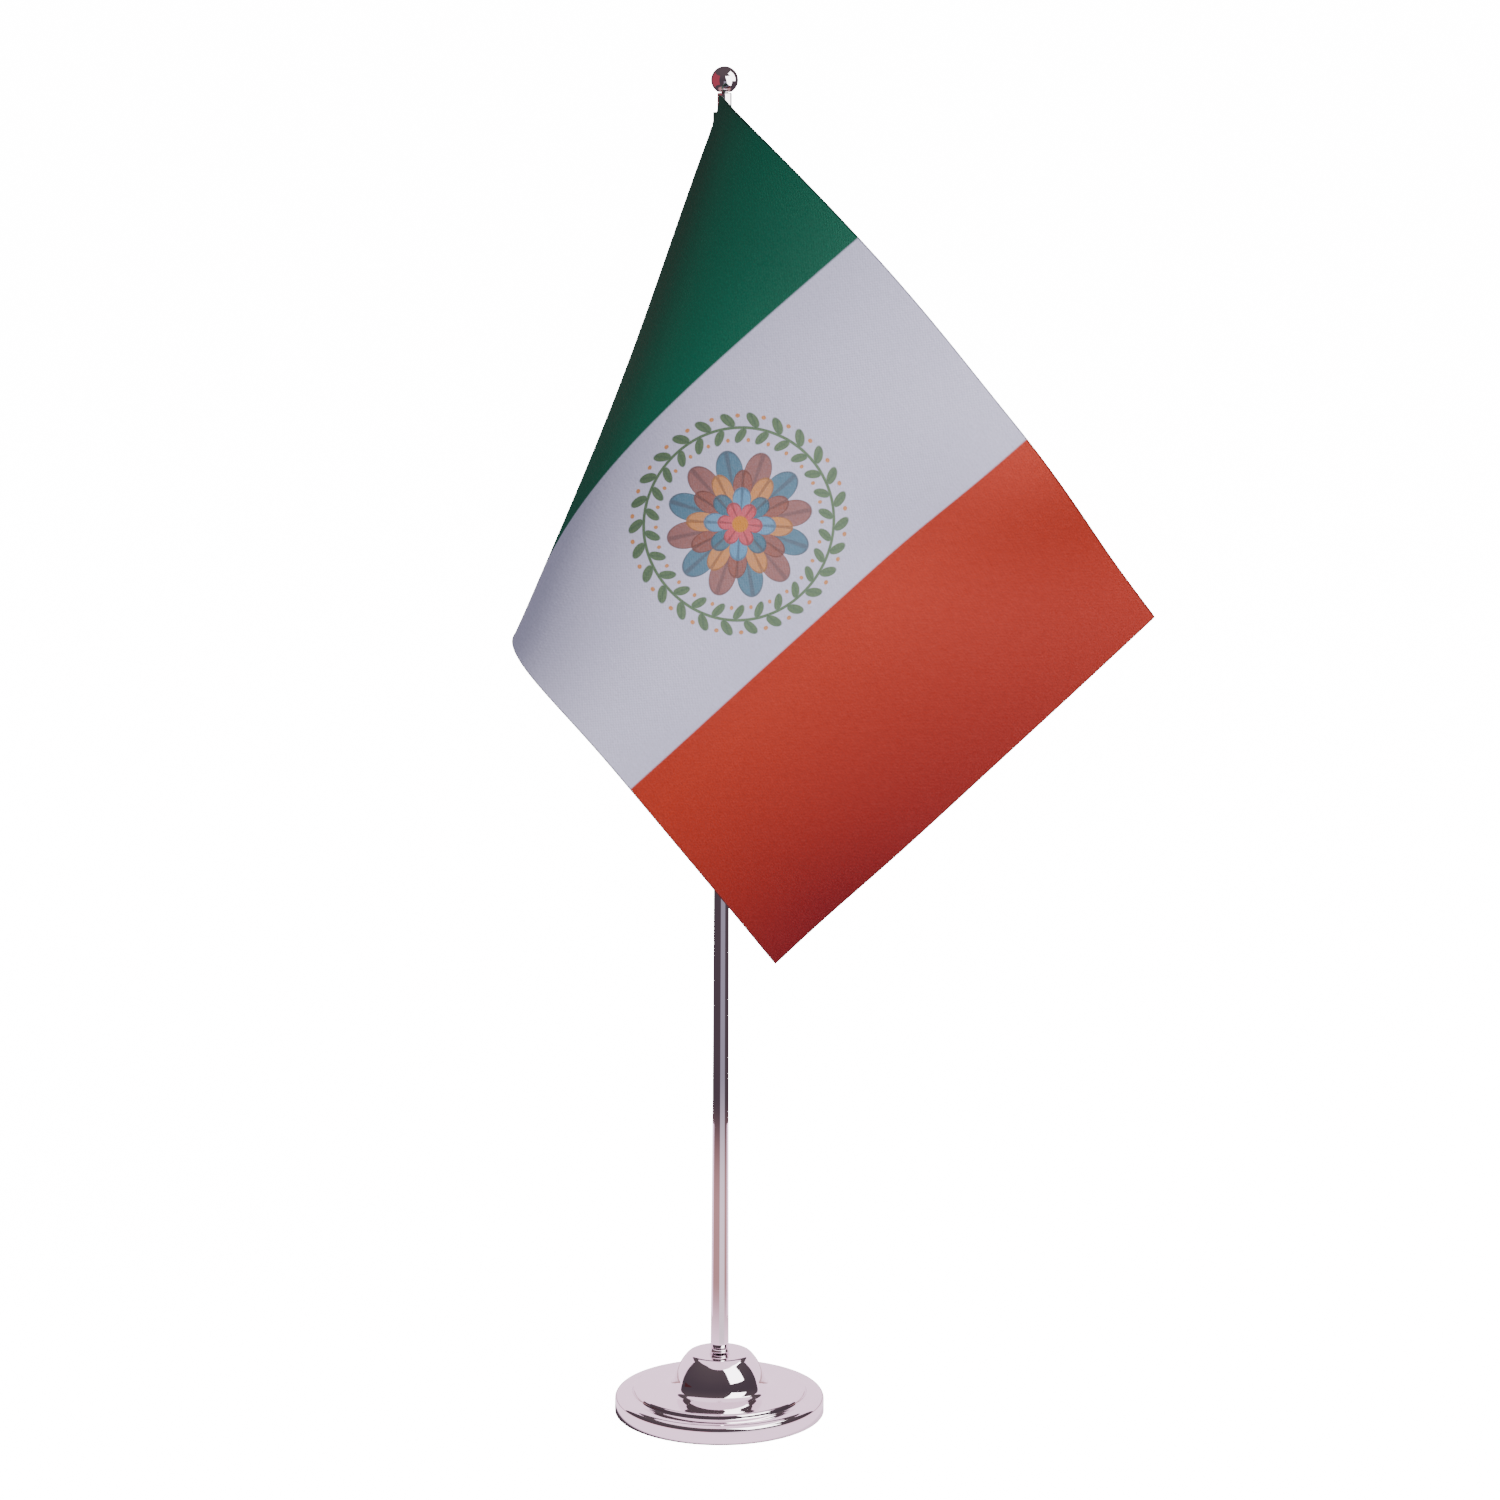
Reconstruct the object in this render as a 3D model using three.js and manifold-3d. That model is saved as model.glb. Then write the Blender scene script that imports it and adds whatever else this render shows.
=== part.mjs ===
// Desk flag stand: a weighted round base, a tapered rod with a ball finial, and a small hand flag.
// Millimetres, +Z up. The origin is the centre of the felt underside, on the rod's axis.
// -Y is the side the flag is seen from, and +X is to the right of that view.
import * as THREE from 'three';
import { mergeVertices } from 'three/addons/utils/BufferGeometryUtils.js';
import Module from 'manifold-3d';

const wasm = await Module();
wasm.setup();

// ---- Driving dimensions -------------------------------------------------------------------------
const GAP = 0.3; // clearance between pieces that rest on each other
const FINE_SIDES = 36; // facets round the wide turned pieces
const ROUND_SIDES = 24; // facets round the slender ones

// Base
const BASE_RADIUS = 30;
const RIM_BOTTOM_Z = 0.7; // the felt stands this far proud of the rim
const COVER_WALL = 1.0;
const HUB_TOP_Z = 18;
const HUB_BORE_RADIUS = 2.0;
const FELT_THICKNESS = 1.2;
const FELT_RADIUS = 28.3;
const BACKING_THICKNESS = 0.6;
const BACKING_RADIUS = 28.5;

// Screw joint between rod and base, thread M3 by 0.5
const STUD_RADIUS = 1.5;
const STUD_INTO_ROD = 8;
const NUT_ACROSS_FLATS = 5.5;
const NUT_HEIGHT = 2.4;
const NUT_BORE_RADIUS = 1.62;
const POCKET_ACROSS_FLATS = 6.2; // narrower than the nut's corners, so the nut can't turn
const SPRING_WASHER_OUTER_RADIUS = 2.75;
const SPRING_WASHER_THICKNESS = 1.0;
const SPRING_WASHER_SPLIT = 0.7;
const FOOT_RING_OUTER_RADIUS = 2.95;
const FOOT_RING_BORE_RADIUS = 1.75;
const FOOT_RING_HEIGHT = 1.1;

// Rod
const TIP_RADIUS = 1.94;
const FOOT_FLARE = 0.66; // extra radius at the foot
const FLARE_LENGTH = 113; // the flare falls to 1/e over this height
const ROD_STATIONS = 14;
const ROD_CHAMFER = 0.2;

// Finial, thread M2
const BALL_RADIUS = 3.7;
const OVERALL_HEIGHT = 383;
const BALL_SEAT_RADIUS = 1.85;
const FINIAL_STUD_RADIUS = 1.0;
const FINIAL_STUD_IN_ROD = 6;
const FINIAL_STUD_IN_BALL = 3.4;
const STUD_HOLE_RADIUS = 1.22;
const STUD_END_CLEARANCE = 0.35;

// Flag: 140 mm hoist by 210 mm fly, sewn to a sleeve that hangs on a rubber ring
const FLAG_HOIST = 140;
const FLAG_FLY = 210;
const CLOTH_THICKNESS = 0.4;
const CLOTH_STEPS_FLY = 21;
const CLOTH_STEPS_HOIST = 14;
const FLAG_TOP_Z = 375.6;
const SLEEVE_TOP_DROP = 5; // the sleeve stops this far below the flag's top corner
const SLEEVE_BORE_RADIUS = 2.6;
const SLEEVE_OUTER_RADIUS = 3.1;
const STOP_RING_BORE_RADIUS = 2.3;
const STOP_RING_SECTION = 1.8;

// ---- Heights that follow from them --------------------------------------------------------------
const BACKING_BOTTOM_Z = FELT_THICKNESS + GAP;
const BALLAST_BOTTOM_Z = BACKING_BOTTOM_Z + BACKING_THICKNESS + GAP;
const NUT_BOTTOM_Z = BALLAST_BOTTOM_Z + 2 * GAP;
const WASHER_BOTTOM_Z = NUT_BOTTOM_Z + NUT_HEIGHT + GAP;
const POCKET_TOP_Z = WASHER_BOTTOM_Z + SPRING_WASHER_THICKNESS + GAP;
const FOOT_RING_BOTTOM_Z = HUB_TOP_Z + GAP;
const ROD_BOTTOM_Z = FOOT_RING_BOTTOM_Z + FOOT_RING_HEIGHT + GAP;
const BALL_CENTRE_Z = OVERALL_HEIGHT - BALL_RADIUS;
const BALL_SEAT_Z = BALL_CENTRE_Z - Math.sqrt(BALL_RADIUS ** 2 - BALL_SEAT_RADIUS ** 2);
const ROD_TOP_Z = BALL_SEAT_Z - GAP;
const SLEEVE_BOTTOM_Z = FLAG_TOP_Z - FLAG_HOIST;
const STOP_RING_CENTRE_Z = SLEEVE_BOTTOM_Z - GAP - STOP_RING_SECTION / 2;

// ---- Finishes -----------------------------------------------------------------------------------
const finishes = {
  chrome: { color: 0xddd2d9, roughness: 0.08, metalness: 1 },
  steel: { color: 0x9b9ca0, roughness: 0.35, metalness: 1 },
  iron: { color: 0x4b4a4a, roughness: 0.7, metalness: 0.8 },
  board: { color: 0x8a7f6c, roughness: 0.9, metalness: 0 },
  felt: { color: 0x1c1c20, roughness: 1, metalness: 0 },
  rubber: { color: 0x202022, roughness: 0.6, metalness: 0 },
  satin: { color: 0xc6c4d4, roughness: 0.55, metalness: 0 },
  hoist: { color: 0x00523f, roughness: 0.55, metalness: 0 },
};

const stand = new THREE.Group();

function place(name, geometry, finish) {
  const mesh = new THREE.Mesh(geometry, new THREE.MeshStandardMaterial(finishes[finish]));
  mesh.name = name;
  stand.add(mesh);
}

// ---- Shape helpers ------------------------------------------------------------------------------
// A solid turned about Z from [radius, height] pairs.
function turned(profile, sides) {
  const points = profile.map(([radius, height]) => new THREE.Vector2(radius, height));
  return new THREE.LatheGeometry(points, sides).rotateX(Math.PI / 2);
}

// A plain ring or disc-with-hole between two heights.
function tube(inner, outer, bottom, top, sides) {
  return turned([[inner, bottom], [outer, bottom], [outer, top], [inner, top], [inner, bottom]], sides);
}

// A plain round bar or disc between two heights.
function bar(radius, bottom, top, sides) {
  return turned([[0, bottom], [radius, bottom], [radius, top], [0, top]], sides);
}

// A hexagonal prism measured across its flats.
function hexPrism(acrossFlats, bottom, top) {
  const prism = new THREE.CylinderGeometry(
    acrossFlats / Math.sqrt(3),
    acrossFlats / Math.sqrt(3),
    top - bottom,
    6,
  );
  return prism.rotateX(Math.PI / 2).translate(0, 0, (bottom + top) / 2);
}

function toSolid(geometry) {
  const bare = geometry.clone();
  bare.deleteAttribute('normal');
  bare.deleteAttribute('uv');
  const welded = mergeVertices(bare, 1e-4);
  return new wasm.Manifold(new wasm.Mesh({
    numProp: 3,
    vertProperties: new Float32Array(welded.attributes.position.array),
    triVerts: new Uint32Array(welded.index.array),
  }));
}

function toGeometry(solid) {
  const mesh = solid.getMesh();
  const geometry = new THREE.BufferGeometry();
  geometry.setAttribute('position', new THREE.BufferAttribute(mesh.vertProperties, 3));
  geometry.setIndex(new THREE.BufferAttribute(mesh.triVerts, 1));
  geometry.computeVertexNormals();
  return geometry;
}

// The same outline moved inward by a wall thickness, along each point's averaged normal.
function insetOutline(outline, wall) {
  return outline.map(([radius, height], i) => {
    const [beforeRadius, beforeHeight] = outline[Math.max(i - 1, 0)];
    const [afterRadius, afterHeight] = outline[Math.min(i + 1, outline.length - 1)];
    const run = afterRadius - beforeRadius;
    const rise = afterHeight - beforeHeight;
    const length = Math.hypot(run, rise);
    return [radius - (wall * rise) / length, height + (wall * run) / length];
  });
}

// ---- Base ---------------------------------------------------------------------------------------
// Outside of the cover, from the rim's lower edge up to the hub's flat top.
const coverOutline = [
  [BASE_RADIUS, RIM_BOTTOM_Z],
  [BASE_RADIUS, 4.4],
  [29.65, 5.4],
  [28.7, 5.95],
  [25.7, 6.1],
  [24.9, 6.45],
  [24.7, 7.1],
  [24.1, 7.55],
  [16.6, 7.65],
  [14.7, 7.9],
  [13.7, 8.5],
  [13.1, 9.5],
  [12.7, 10.8],
  [12.25, 12.3],
  [11.6, 14],
  [10.75, 15.6],
  [9.9, 16.85],
  [9.2, 17.65],
  [8.3, HUB_TOP_Z],
];

function coverGeometry() {
  const inside = insetOutline(coverOutline, COVER_WALL);
  inside[0][1] = RIM_BOTTOM_Z;
  const innerTop = inside[inside.length - 1][1];
  const outline = [
    ...coverOutline,
    [HUB_BORE_RADIUS, HUB_TOP_Z],
    [HUB_BORE_RADIUS, innerTop],
    ...inside.reverse(),
    coverOutline[0],
  ];
  return turned(outline, FINE_SIDES);
}

// The cast weight fills the cover, with a boss up into the hub and a hexagonal pocket below.
function ballastGeometry() {
  const filling = insetOutline(coverOutline, COVER_WALL + 1.3 * GAP).slice(1);
  const [outerRadius] = filling[0];
  const bossTop = filling[filling.length - 1][1];
  const outline = [
    [HUB_BORE_RADIUS, BALLAST_BOTTOM_Z],
    [outerRadius, BALLAST_BOTTOM_Z],
    ...filling,
    [HUB_BORE_RADIUS, bossTop],
    [HUB_BORE_RADIUS, BALLAST_BOTTOM_Z],
  ];
  const pocket = hexPrism(POCKET_ACROSS_FLATS, BALLAST_BOTTOM_Z - 1, POCKET_TOP_Z);
  return toGeometry(toSolid(turned(outline, FINE_SIDES)).subtract(toSolid(pocket)));
}

function nutGeometry() {
  const top = NUT_BOTTOM_Z + NUT_HEIGHT;
  const hexagon = toSolid(hexPrism(NUT_ACROSS_FLATS, NUT_BOTTOM_Z, top));
  const bore = toSolid(bar(NUT_BORE_RADIUS, NUT_BOTTOM_Z - 1, top + 1, ROUND_SIDES));
  return toGeometry(hexagon.subtract(bore));
}

function springWasherGeometry() {
  const top = WASHER_BOTTOM_Z + SPRING_WASHER_THICKNESS;
  const ring = tube(NUT_BORE_RADIUS, SPRING_WASHER_OUTER_RADIUS, WASHER_BOTTOM_Z, top, ROUND_SIDES);
  const split = new THREE.BoxGeometry(
    SPRING_WASHER_OUTER_RADIUS * 2,
    SPRING_WASHER_SPLIT,
    SPRING_WASHER_THICKNESS * 3,
  );
  split.translate(SPRING_WASHER_OUTER_RADIUS, 0, WASHER_BOTTOM_Z);
  return toGeometry(toSolid(ring).subtract(toSolid(split)));
}

place('felt_pad', bar(FELT_RADIUS, 0, FELT_THICKNESS, FINE_SIDES), 'felt');
place(
  'backing_disc',
  bar(BACKING_RADIUS, BACKING_BOTTOM_Z, BACKING_BOTTOM_Z + BACKING_THICKNESS, FINE_SIDES),
  'board',
);
place('ballast_weight', ballastGeometry(), 'iron');
place('base_cover', coverGeometry(), 'chrome');
place('captive_nut', nutGeometry(), 'steel');
place('spring_washer', springWasherGeometry(), 'steel');

// ---- Rod and its screw joint --------------------------------------------------------------------
function rodRadius(height) {
  return TIP_RADIUS + FOOT_FLARE * Math.exp((ROD_BOTTOM_Z - height) / FLARE_LENGTH);
}

// The ring under the rod's foot, with its outer edges rounded off.
function footRingGeometry() {
  const top = FOOT_RING_BOTTOM_Z + FOOT_RING_HEIGHT;
  const edge = FOOT_RING_HEIGHT / 3;
  return turned([
    [FOOT_RING_BORE_RADIUS, FOOT_RING_BOTTOM_Z],
    [FOOT_RING_OUTER_RADIUS - edge, FOOT_RING_BOTTOM_Z],
    [FOOT_RING_OUTER_RADIUS, FOOT_RING_BOTTOM_Z + edge],
    [FOOT_RING_OUTER_RADIUS, top - edge],
    [FOOT_RING_OUTER_RADIUS - edge, top],
    [FOOT_RING_BORE_RADIUS, top],
    [FOOT_RING_BORE_RADIUS, FOOT_RING_BOTTOM_Z],
  ], ROUND_SIDES);
}

// The tapered rod, bored at its foot for the base stud and at its tip for the finial stud.
function rodGeometry() {
  const footHoleRadius = STUD_RADIUS + GAP;
  const footHoleTop = ROD_BOTTOM_Z + STUD_INTO_ROD + STUD_END_CLEARANCE;
  const tipHoleBottom = ROD_TOP_Z - FINIAL_STUD_IN_ROD - STUD_END_CLEARANCE;
  const side = [];
  for (let i = 0; i <= ROD_STATIONS; i += 1) {
    const share = (i / ROD_STATIONS) ** 1.5;
    const height = ROD_BOTTOM_Z + ROD_CHAMFER + share * (ROD_TOP_Z - ROD_BOTTOM_Z - 2 * ROD_CHAMFER);
    side.push([rodRadius(height), height]);
  }
  return turned([
    [0, footHoleTop],
    [footHoleRadius, footHoleTop],
    [footHoleRadius, ROD_BOTTOM_Z],
    [rodRadius(ROD_BOTTOM_Z) - ROD_CHAMFER, ROD_BOTTOM_Z],
    ...side,
    [rodRadius(ROD_TOP_Z) - ROD_CHAMFER, ROD_TOP_Z],
    [STUD_HOLE_RADIUS, ROD_TOP_Z],
    [STUD_HOLE_RADIUS, tipHoleBottom],
    [0, tipHoleBottom],
  ], ROUND_SIDES);
}

place('foot_ring', footRingGeometry(), 'chrome');
place('base_stud', bar(STUD_RADIUS, NUT_BOTTOM_Z, ROD_BOTTOM_Z + STUD_INTO_ROD, ROUND_SIDES), 'steel');
place('tapered_rod', rodGeometry(), 'chrome');

// ---- Finial -------------------------------------------------------------------------------------
function ballGeometry() {
  const holeTop = ROD_TOP_Z + GAP + FINIAL_STUD_IN_BALL + STUD_END_CLEARANCE;
  const seatAngle = Math.asin(BALL_SEAT_RADIUS / BALL_RADIUS);
  const steps = 14;
  const outline = [
    [0, holeTop],
    [STUD_HOLE_RADIUS, holeTop],
    [STUD_HOLE_RADIUS, BALL_SEAT_Z],
  ];
  for (let i = 0; i <= steps; i += 1) {
    const angle = seatAngle + (i / steps) * (Math.PI - seatAngle);
    const radius = i === steps ? 0 : BALL_RADIUS * Math.sin(angle);
    outline.push([radius, BALL_CENTRE_Z - BALL_RADIUS * Math.cos(angle)]);
  }
  return turned(outline, ROUND_SIDES);
}

place(
  'finial_stud',
  bar(FINIAL_STUD_RADIUS, ROD_TOP_Z - FINIAL_STUD_IN_ROD, BALL_SEAT_Z + FINIAL_STUD_IN_BALL, ROUND_SIDES),
  'steel',
);
place('finial_ball', ballGeometry(), 'chrome');

// ---- Flag ---------------------------------------------------------------------------------------
// The cloth hangs between three lines that run from the hoist to the fly: its top edge, its middle
// and its bottom edge. Each starts on the sleeve, swings out to the left and comes back across the
// front of the rod, and each is as long as the flag's fly. Points are [x, y, drop below the corner].
const HOIST_EDGE = [-1.5, -3.35];
const topEdge = [
  [...HOIST_EDGE, 0],
  [3, -23, 4],
  [15, -35, 14],
  [35, -46, 34],
  [55, -52, 56],
  [79, -49, 88],
  [101, -34, 117],
  [118, -23, 139],
];
const middle = [
  [...HOIST_EDGE, 70],
  [-17, -16, 70],
  [-27, -33, 70],
  [-22, -51, 76],
  [3, -68, 101],
  [28, -63, 131],
  [50, -50, 162],
  [67, -39, 184],
];
const bottomEdge = [
  [...HOIST_EDGE, 140],
  [-34, -28, 139],
  [-54, -50, 139],
  [-54, -70, 142],
  [-40, -82, 155],
  [-18, -77, 181],
  [0, -67, 207],
  [16, -55, 229],
];

// A smooth curve through the points, scaled about its start so that its length is the fly's.
function flyCurve(points) {
  const start = new THREE.Vector3(points[0][0], points[0][1], FLAG_TOP_Z - points[0][2]);
  const vectors = points.map(([x, y, drop]) => new THREE.Vector3(x, y, FLAG_TOP_Z - drop));
  const length = new THREE.CatmullRomCurve3(vectors).getLength();
  vectors.forEach((point) => point.sub(start).multiplyScalar(FLAG_FLY / length).add(start));
  return new THREE.CatmullRomCurve3(vectors);
}

// Parabola through the three curves at one distance from the hoist.
function acrossCloth(upper, centre, lower, share) {
  return new THREE.Vector3()
    .addScaledVector(upper, 2 * (share - 0.5) * (share - 1))
    .addScaledVector(centre, 4 * share * (1 - share))
    .addScaledVector(lower, 2 * share * (share - 0.5));
}

function clothGrid() {
  const curves = [topEdge, middle, bottomEdge].map(flyCurve);
  const grid = [];
  for (let i = 0; i <= CLOTH_STEPS_FLY; i += 1) {
    const [upper, centre, lower] = curves.map((curve) => curve.getPointAt(i / CLOTH_STEPS_FLY));
    const column = [];
    for (let j = 0; j <= CLOTH_STEPS_HOIST; j += 1) {
      column.push(acrossCloth(upper, centre, lower, j / CLOTH_STEPS_HOIST));
    }
    grid.push(column);
  }
  return grid;
}

function clothNormal(grid, i, j) {
  const alongFly = new THREE.Vector3().subVectors(
    grid[Math.min(i + 1, CLOTH_STEPS_FLY)][j],
    grid[Math.max(i - 1, 0)][j],
  );
  const alongHoist = new THREE.Vector3().subVectors(
    grid[i][Math.min(j + 1, CLOTH_STEPS_HOIST)],
    grid[i][Math.max(j - 1, 0)],
  );
  return alongHoist.cross(alongFly).normalize();
}

// Both faces of the cloth and a narrow band round its four edges, as one closed body.
function clothGeometry() {
  const grid = clothGrid();
  const columns = CLOTH_STEPS_HOIST + 1;
  const faceSize = (CLOTH_STEPS_FLY + 1) * columns;
  const positions = [];
  for (const side of [0.5, -0.5]) {
    grid.forEach((column, i) => column.forEach((point, j) => {
      const lifted = point.clone().addScaledVector(clothNormal(grid, i, j), side * CLOTH_THICKNESS);
      positions.push(lifted.x, lifted.y, lifted.z);
    }));
  }
  const index = [];
  const quad = (a, b, c, d) => index.push(a, b, c, a, c, d);
  const at = (i, j) => i * columns + j;
  for (let i = 0; i < CLOTH_STEPS_FLY; i += 1) {
    for (let j = 0; j < CLOTH_STEPS_HOIST; j += 1) {
      quad(at(i, j), at(i, j + 1), at(i + 1, j + 1), at(i + 1, j));
      quad(
        faceSize + at(i, j),
        faceSize + at(i + 1, j),
        faceSize + at(i + 1, j + 1),
        faceSize + at(i, j + 1),
      );
    }
  }
  const border = [];
  for (let i = 0; i < CLOTH_STEPS_FLY; i += 1) border.push(at(i, 0));
  for (let j = 0; j < CLOTH_STEPS_HOIST; j += 1) border.push(at(CLOTH_STEPS_FLY, j));
  for (let i = CLOTH_STEPS_FLY; i > 0; i -= 1) border.push(at(i, CLOTH_STEPS_HOIST));
  for (let j = CLOTH_STEPS_HOIST; j > 0; j -= 1) border.push(at(0, j));
  border.forEach((corner, k) => {
    const next = border[(k + 1) % border.length];
    quad(corner, next, faceSize + next, faceSize + corner);
  });
  const geometry = new THREE.BufferGeometry();
  geometry.setAttribute('position', new THREE.Float32BufferAttribute(positions, 3));
  geometry.setIndex(index);
  geometry.computeVertexNormals();
  return geometry;
}

// A rubber ring of round section that grips the rod under the sleeve.
function stopRingGeometry() {
  const section = STOP_RING_SECTION / 2;
  const steps = 10;
  const outline = [];
  for (let i = 0; i <= steps; i += 1) {
    const angle = -(i % steps) * ((2 * Math.PI) / steps);
    outline.push([
      STOP_RING_BORE_RADIUS + section - section * Math.cos(angle),
      STOP_RING_CENTRE_Z + section * Math.sin(angle),
    ]);
  }
  return turned(outline, ROUND_SIDES);
}

place('stop_ring', stopRingGeometry(), 'rubber');
place(
  'hoist_sleeve',
  tube(SLEEVE_BORE_RADIUS, SLEEVE_OUTER_RADIUS, SLEEVE_BOTTOM_Z, FLAG_TOP_Z - SLEEVE_TOP_DROP, ROUND_SIDES),
  'hoist',
);
place('flag_cloth', clothGeometry(), 'satin');

export default stand;
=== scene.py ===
import math
import random

import bpy
import numpy as np
from mathutils import Matrix, Vector


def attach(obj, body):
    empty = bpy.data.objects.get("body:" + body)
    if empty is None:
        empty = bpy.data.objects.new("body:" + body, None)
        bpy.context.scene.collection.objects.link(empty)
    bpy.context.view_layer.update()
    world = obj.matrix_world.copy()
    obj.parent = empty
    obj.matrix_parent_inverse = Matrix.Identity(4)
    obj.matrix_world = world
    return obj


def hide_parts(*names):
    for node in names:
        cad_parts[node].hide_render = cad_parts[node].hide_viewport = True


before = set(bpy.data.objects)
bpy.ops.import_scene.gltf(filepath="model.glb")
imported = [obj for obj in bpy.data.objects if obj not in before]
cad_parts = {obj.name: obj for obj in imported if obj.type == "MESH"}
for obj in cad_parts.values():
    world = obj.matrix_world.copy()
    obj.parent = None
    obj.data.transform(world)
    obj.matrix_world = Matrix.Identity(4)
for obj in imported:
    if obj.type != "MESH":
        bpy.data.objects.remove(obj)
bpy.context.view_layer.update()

MM = 0.001

# ---- Sizes shared with the frame ----------------------------------------------------------------
FLAG_FLY, FLAG_HOIST, FLAG_TOP_Z = 210.0, 140.0, 375.6
FLAG_SHEET = 0.3  # thickness of the satin
ROD_BOTTOM_Z, ROD_TOP_Z = 19.7, 375.8
TIP_RADIUS, FOOT_FLARE, FLARE_LENGTH = 1.94, 0.66, 113.0
BALL_RADIUS, BALL_CENTRE_Z = 3.7, 379.3
SEAT_RADIUS, STUD_HOLE_RADIUS = 1.85, 1.22
SLEEVE_TOP_Z, SLEEVE_BOTTOM_Z = 370.6, 235.9

# ---- Camera, early so that every other view works ------------------------------------------------
camera_data = bpy.data.cameras.new("camera")
camera_data.sensor_width = 36.0
camera_data.lens = 109.68
camera = bpy.data.objects.new("camera", camera_data)
bpy.context.collection.objects.link(camera)
CAMERA_PLACE = Vector((7.82, -1250.0, 447.0)) * MM
CAMERA_TILT = math.radians(90 - 11.44)
CAMERA_ROLL = 0.00515
camera.matrix_world = (
    Matrix.Translation(CAMERA_PLACE)
    @ Matrix.Rotation(CAMERA_TILT, 4, "X")
    @ Matrix.Rotation(CAMERA_ROLL, 4, "Z")
)
bpy.context.scene.camera = camera


# ---- Node graphs ---------------------------------------------------------------------------------
def linear(red, green, blue):
    """A display colour, 0 to 255, as the linear colour that shaders use."""
    def one(value):
        value /= 255
        return value / 12.92 if value <= 0.04045 else ((value + 0.055) / 1.055) ** 2.4
    return (one(red), one(green), one(blue), 1.0)


class Finish:
    """A procedural material that is built one node at a time."""

    def __init__(self, name, kind="ShaderNodeBsdfPrincipled"):
        self.material = bpy.data.materials.new(name)
        self.material.use_nodes = True
        self.nodes = self.material.node_tree.nodes
        self.links = self.material.node_tree.links
        self.nodes.clear()
        self.output = self.nodes.new("ShaderNodeOutputMaterial")
        self.shader = self.nodes.new(kind)
        self.links.new(self.shader.outputs[0], self.output.inputs["Surface"])

    def put(self, socket, value):
        if isinstance(value, bpy.types.NodeSocket):
            self.links.new(value, socket)
        else:
            socket.default_value = value

    def set(self, **values):
        for name, value in values.items():
            self.put(self.shader.inputs[name.replace("_", " ")], value)

    def math(self, operation, first, second=0.0, clamp=False):
        node = self.nodes.new("ShaderNodeMath")
        node.operation, node.use_clamp = operation, clamp
        for socket, value in zip(node.inputs, (first, second)):
            self.put(socket, value)
        return node.outputs[0]

    def distance(self, x, y):
        """How far a point is from the middle, from its two coordinates."""
        x_squared, y_squared = self.math("MULTIPLY", x, x), self.math("MULTIPLY", y, y)
        return self.math("SQRT", self.math("ADD", x_squared, y_squared))

    def remap(self, value, low, high, start=0.0, end=1.0, smooth=False):
        """value from low..high to start..end, held at the ends."""
        node = self.nodes.new("ShaderNodeMapRange")
        node.clamp = True
        node.interpolation_type = "SMOOTHSTEP" if smooth else "LINEAR"
        for socket, part in zip(node.inputs, (value, low, high, start, end)):
            self.put(socket, part)
        return node.outputs[0]

    def mix(self, share, first, second):
        node = self.nodes.new("ShaderNodeMix")
        node.data_type, node.blend_type = "RGBA", "MIX"
        self.put(node.inputs[0], share)
        self.put(node.inputs[6], first)
        self.put(node.inputs[7], second)
        return node.outputs[2]

    def combine(self, x, y, z):
        node = self.nodes.new("ShaderNodeCombineXYZ")
        for socket, value in zip(node.inputs, (x, y, z)):
            self.put(socket, value)
        return node.outputs[0]

    def separate(self, vector):
        node = self.nodes.new("ShaderNodeSeparateXYZ")
        self.put(node.inputs[0], vector)
        return node.outputs[0], node.outputs[1], node.outputs[2]

    def noise(self, vector, scale, detail=2.0, roughness=0.5):
        node = self.nodes.new("ShaderNodeTexNoise")
        settings = {"Vector": vector, "Scale": scale, "Detail": detail, "Roughness": roughness}
        for name, value in settings.items():
            self.put(node.inputs[name], value)
        return node.outputs[0]

    def attribute(self, name):
        node = self.nodes.new("ShaderNodeAttribute")
        node.attribute_name = name
        return node.outputs["Vector"]

    def place(self):
        """Where a point is on the object itself, in metres."""
        return self.nodes.new("ShaderNodeTexCoord").outputs["Object"]

    def bump(self, height, distance):
        node = self.nodes.new("ShaderNodeBump")
        for name, value in {"Height": height, "Distance": distance, "Strength": 1.0}.items():
            self.put(node.inputs[name], value)
        return node.outputs[0]


def chrome_finish(name, tint, along_axis):
    """Bright plating with faint polishing lines, round the axis or along it, and tiny handling marks."""
    finish = Finish(name)
    place = finish.place()
    x, y, z = finish.separate(place)
    radius = finish.distance(x, y)
    angle = finish.math("ARCTAN2", y, x)
    if along_axis:
        lines = finish.combine(finish.math("MULTIPLY", angle, 14.0), 0.0, finish.math("MULTIPLY", z, 25.0))
    else:
        lines = finish.combine(finish.math("MULTIPLY", radius, 2600.0), finish.math("MULTIPLY", angle, 0.6),
                               finish.math("MULTIPLY", z, 2600.0))
    polish = finish.noise(lines, 1.0, 3.0)
    cloud = finish.noise(place, 90.0, 3.0)
    specks = finish.remap(finish.noise(place, 900.0, 2.0), 0.68, 0.76)
    worn = finish.math("ADD", finish.math("MULTIPLY", cloud, 0.05), finish.math("MULTIPLY", polish, 0.035))
    finish.set(
        Base_Color=finish.mix(finish.math("ADD", finish.math("MULTIPLY", cloud, 0.5),
                                          finish.math("MULTIPLY", specks, 0.25)), tint, tarnished(tint)),
        Metallic=1.0,
        Roughness=finish.math("ADD", worn, finish.math("MULTIPLY", specks, 0.08)),
        Normal=finish.bump(finish.math("ADD", polish, finish.math("MULTIPLY", cloud, 2.0)), 0.0000012),
    )
    return finish.material


def tarnished(tint):
    red, green, blue, _ = tint
    return (red * 0.9, green * 0.86, blue * 0.87, 1.0)


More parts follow.
